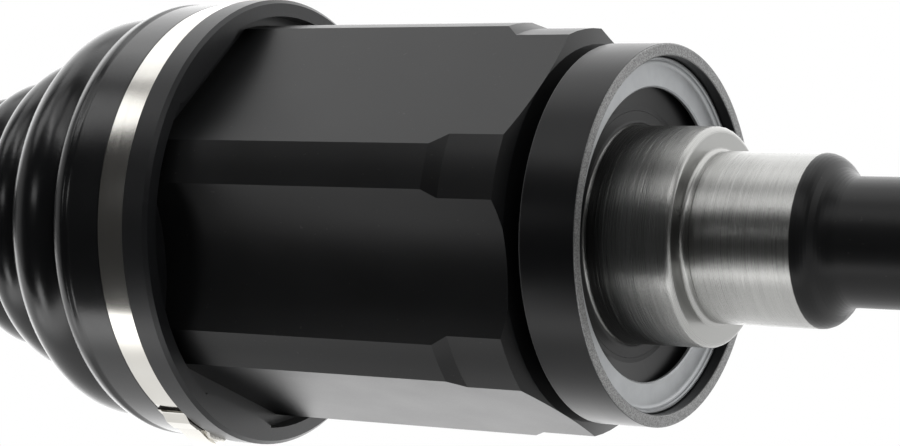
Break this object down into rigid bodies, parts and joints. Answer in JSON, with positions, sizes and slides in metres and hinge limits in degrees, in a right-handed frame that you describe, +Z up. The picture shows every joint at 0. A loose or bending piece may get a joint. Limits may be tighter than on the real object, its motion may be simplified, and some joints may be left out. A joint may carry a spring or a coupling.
{
  "type": "drive shaft",
  "caption": "Front-wheel drive shaft: stub shaft with bearing journals, lobed plunging tripod joint and bush-seated boot, bar, and ball joint with splined stem.",
  "frame": {"origin": "centre of the ground seat for the support bearing, on the shaft's axis", "axes": "+X along the shaft towards the gearbox end, +Z up, +Y along the first trunnion of the tripod"},
  "size_m": [0.927, 0.0992, 0.0992],
  "materials": {
    "black_paint": "satin black paint over a steel forging, with fine marks",
    "blackened_steel": "satin black, machined face bare",
    "zinc_plate": "matt bluish zinc plating",
    "spring_steel": "oiled spring steel",
    "bush_plastic": "semi-gloss black",
    "boot_rubber": "semi-gloss black",
    "stainless_band": "bright stainless strip",
    "ground_steel": "ground, oiled",
    "bearing_steel": "polished"
  },
  "bodies": {
    "housing": {"tripod_housing": "black_paint", "dust_ring": "blackened_steel", "ring_shield": "zinc_plate", "gearbox_circlip": "spring_steel", "boot_bush": "bush_plastic", "inner_boot": "boot_rubber", "inner_large_clamp": "stainless_band"},
    "roller_1": {"roller_1": "ground_steel"},
    "bar": {"drive_bar": "black_paint", "tripod_spider": "ground_steel", "needle_set_1": "bearing_steel", "needle_set_2": "bearing_steel", "needle_set_3": "bearing_steel", "roller_retainer_1": "spring_steel", "roller_retainer_2": "spring_steel", "roller_retainer_3": "spring_steel", "spider_circlip": "spring_steel", "inner_race": "ground_steel", "inner_race_circlip": "spring_steel", "inner_small_clamp": "stainless_band", "outer_small_clamp": "stainless_band"},
    "roller_2": {"roller_2": "ground_steel"},
    "roller_3": {"roller_3": "ground_steel"},
    "wheel_end": {"outer_race": "black_paint", "outer_boot": "boot_rubber", "outer_large_clamp": "stainless_band"},
    "cage": {"ball_cage": "ground_steel", "ball_1": "bearing_steel", "ball_2": "bearing_steel", "ball_3": "bearing_steel", "ball_4": "bearing_steel", "ball_5": "bearing_steel", "ball_6": "bearing_steel"}
  },
  "joints": [
    {"name": "plunge", "type": "slide", "parent": "housing", "child": "roller_1", "axis": [1, 0, 0], "range_m": [-0.018, 0.012], "deforming": ["inner_boot"]},
    {"name": "tilt", "type": "hinge", "parent": "roller_1", "child": "bar", "pos_m": [-0.095, 0, 0], "axis": [0, 1, 0], "range_deg": [-18, 18], "deforming": ["inner_boot"]},
    {"name": "roller_2_spin", "type": "hinge", "parent": "bar", "child": "roller_2", "pos_m": [-0.095, 0, 0], "axis": [0, -0.5, 0.866], "continuous": true},
    {"name": "roller_3_spin", "type": "hinge", "parent": "bar", "child": "roller_3", "pos_m": [-0.095, 0, 0], "axis": [0, -0.5, -0.866], "continuous": true},
    {"name": "wheel_tilt", "type": "hinge", "parent": "bar", "child": "wheel_end", "pos_m": [-0.485, 0, 0], "axis": [0, 1, 0], "range_deg": [-45, 45], "deforming": ["outer_boot"]},
    {"name": "cage_tilt", "type": "hinge", "parent": "bar", "child": "cage", "pos_m": [-0.485, 0, 0], "axis": [0, 1, 0], "range_deg": [-22.5, 22.5]}
  ],
  "couplings": [
    {"joint": "cage_tilt", "follows": "wheel_tilt", "ratio": 0.5}
  ]
}
